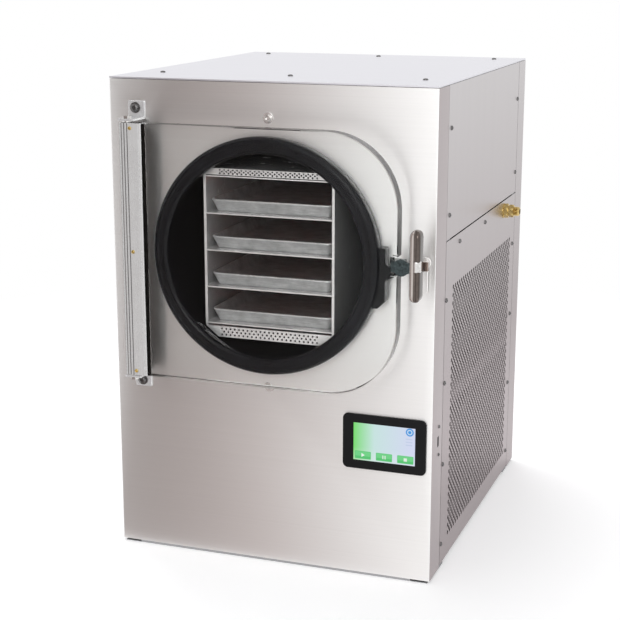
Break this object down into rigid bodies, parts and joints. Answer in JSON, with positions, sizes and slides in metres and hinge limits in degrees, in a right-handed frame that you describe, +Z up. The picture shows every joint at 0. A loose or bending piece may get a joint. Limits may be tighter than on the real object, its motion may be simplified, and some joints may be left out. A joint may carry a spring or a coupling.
{
  "type": "freeze dryer",
  "caption": "Stainless steel home freeze dryer with a round chamber, clear hinged door, tray rack, touch screen, perforated side vents and a brass vacuum fitting.",
  "frame": {"origin": "middle of the footprint, on the floor, at the underside of the base pan", "axes": "+Z up, -Y out of the front panel and door, +X to the side with the vacuum fitting"},
  "size_m": [0.571, 0.6471, 0.7302],
  "materials": {
    "brushed_front": "horizontal brushed grain",
    "side_steel": "satin",
    "lid_steel": "satin",
    "pan_steel": "satin",
    "frame_steel": "satin",
    "black_screws": "black oxide",
    "bright_steel": "polished",
    "black_enamel": "gloss",
    "black_rubber": "moulded satin",
    "foam": "matt foam",
    "copper": "drawn tube",
    "black_plastic": "satin",
    "screen_glass": "lit display",
    "board_green": "solder mask",
    "heater_red": "silicone",
    "tray_metal": "brushed",
    "rack_metal": "polished",
    "fin_metal": "mill",
    "brass": "machined",
    "clear_acrylic": "polished",
    "rail_metal": "polished",
    "latch_metal": "satin nickel",
    "red_plastic": "gloss",
    "clear_hose": "soft tube"
  },
  "bodies": {
    "cabinet": {"front_panel": "brushed_front", "top_panel": "lid_steel", "rear_panel": "side_steel", "right_upper_panel": "side_steel", "right_lower_panel": "side_steel", "left_upper_panel": "side_steel", "left_lower_panel": "side_steel", "base_pan": "pan_steel", "chassis_frame": "frame_steel", "machine_deck": "frame_steel", "panel_screws": "black_screws", "chamber_drum": "black_enamel", "door_gasket": "black_rubber", "flange_bolts": "bright_steel", "evaporator_coil": "copper", "chamber_insulation": "foam", "keeper_block": "black_plastic", "rack_left_side": "rack_metal", "rack_right_side": "rack_metal", "rack_top_guard": "rack_metal", "rack_bottom_guard": "rack_metal", "rack_shelves": "rack_metal", "heater_mats": "heater_red", "tray_1": "tray_metal", "tray_2": "tray_metal", "tray_3": "tray_metal", "tray_4": "tray_metal", "compressor": "pan_steel", "compressor_grommets": "black_rubber", "condenser": "fin_metal", "fan_shroud": "pan_steel", "fan_motor": "pan_steel", "filter_drier": "copper", "refrigerant_lines": "copper", "vacuum_fitting": "brass", "vacuum_pipe": "copper", "drain_hose": "clear_hose", "drain_valve": "brass", "control_board": "board_green", "board_standoffs": "brass", "screen_bezel": "black_plastic", "screen_glass": "screen_glass", "screen_module": "board_green", "usb_port": "black_plastic", "power_inlet": "black_plastic", "pump_outlet": "black_plastic", "hinge_brackets": "bright_steel", "bracket_bolts": "bright_steel", "hinge_pins": "bright_steel"},
    "door": {"door_plate": "clear_acrylic", "hinge_rail": "rail_metal", "rail_screws": "brass", "latch_bracket": "latch_metal"},
    "latch": {"latch_shaft": "latch_metal", "latch_handle": "latch_metal", "latch_hook": "latch_metal"},
    "fan": {"fan_blade": "fin_metal"},
    "rocker": {"power_rocker": "red_plastic"},
    "lever": {"drain_lever": "red_plastic"}
  },
  "joints": [
    {"name": "door_hinge", "type": "hinge", "parent": "cabinet", "child": "door", "pos_m": [-0.2065, -0.319, 0.477], "axis": [0, 0, -1], "range_deg": [0, 170]},
    {"name": "latch_turn", "type": "hinge", "parent": "door", "child": "latch", "pos_m": [0.236, -0.319, 0.484], "axis": [0, 1, 0], "range_deg": [0, 90]},
    {"name": "fan_spin", "type": "hinge", "parent": "cabinet", "child": "fan", "pos_m": [0.166, -0.008, 0.129], "axis": [1, 0, 0], "continuous": true},
    {"name": "switch_rock", "type": "hinge", "parent": "cabinet", "child": "rocker", "pos_m": [0.19, 0.284, 0.117], "axis": [1, 0, 0], "range_deg": [-16, 0]},
    {"name": "drain_turn", "type": "hinge", "parent": "cabinet", "child": "lever", "pos_m": [-0.265, 0.049, 0.037], "axis": [0, 0, 1], "range_deg": [0, 90]}
  ]
}
